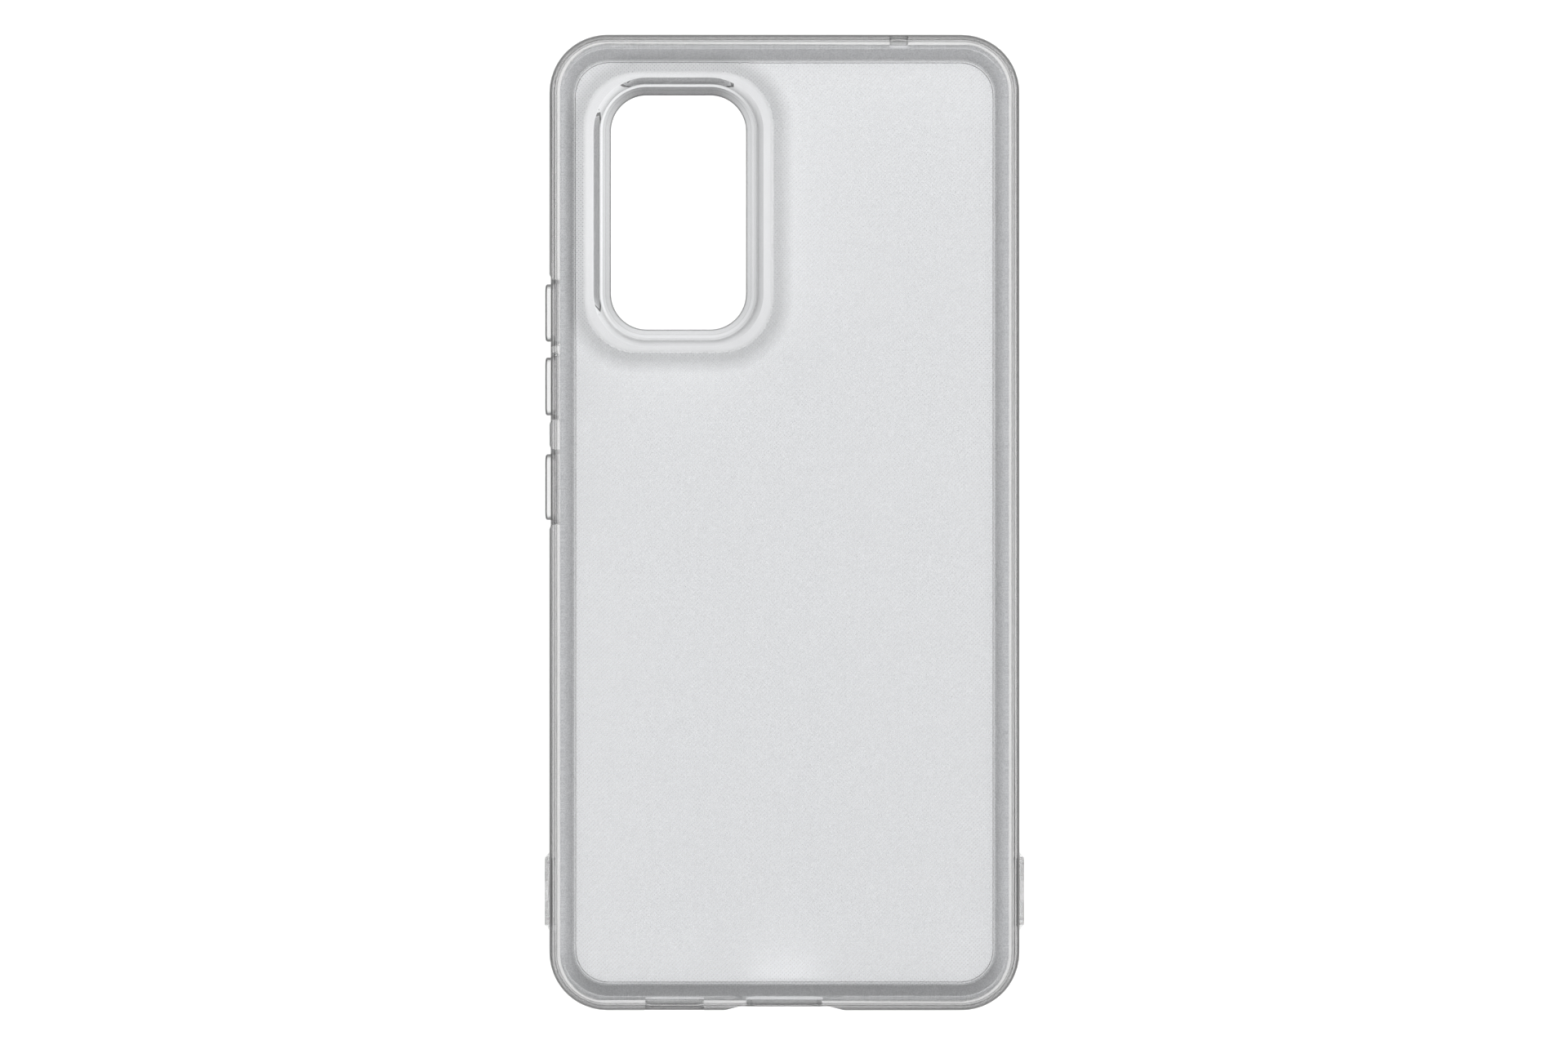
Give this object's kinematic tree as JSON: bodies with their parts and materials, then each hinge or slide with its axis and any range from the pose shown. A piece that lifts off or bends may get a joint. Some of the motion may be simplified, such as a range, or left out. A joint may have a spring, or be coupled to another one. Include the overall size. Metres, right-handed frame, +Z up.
{
  "type": "phone case",
  "caption": "Slim clear case for a flat phone, with side keys, a raised camera guard, cord loops, a matt lip round the screen and a charging port opening.",
  "frame": {"origin": "middle of the case in plan, on the surface that its front lip rests on", "axes": "+Z up through the outer back, +Y towards the top of the phone, keys on the -X side"},
  "size_m": [0.0804, 0.1636, 0.0113],
  "materials": {
    "clear_soft": "clear smoke-tinted soft plastic, polished",
    "matt_soft": "smoke-tinted soft plastic, fine matt grain, polished bevel",
    "clear_back": "clear light smoke plate, polished outside, fine dot pattern inside",
    "clear_guard": "clear light smoke plastic, polished",
    "clear_lug": "clear light smoke plastic, polished",
    "clear_key": "clear light smoke plastic, polished, rounded cap"
  },
  "bodies": {
    "case": {"side_frame": "clear_soft", "front_rim": "matt_soft", "back_panel": "clear_back", "camera_ring": "clear_guard", "camera_collar": "clear_guard", "left_strap_lug": "clear_lug", "right_strap_lug": "clear_lug", "volume_up_web": "clear_soft", "volume_down_web": "clear_soft", "power_web": "clear_soft"},
    "volume_up": {"volume_up_key": "clear_key"},
    "volume_down": {"volume_down_key": "clear_key"},
    "power": {"power_key": "clear_key"}
  },
  "joints": [
    {"name": "volume_up_press", "type": "slide", "parent": "case", "child": "volume_up", "axis": [1, 0, 0], "range_m": [0, 0.00035], "stiffness_N_per_m": 800, "deforming": ["volume_up_web"]},
    {"name": "volume_down_press", "type": "slide", "parent": "case", "child": "volume_down", "axis": [1, 0, 0], "range_m": [0, 0.00035], "stiffness_N_per_m": 800, "deforming": ["volume_down_web"]},
    {"name": "power_press", "type": "slide", "parent": "case", "child": "power", "axis": [1, 0, 0], "range_m": [0, 0.00035], "stiffness_N_per_m": 800, "deforming": ["power_web"]}
  ]
}
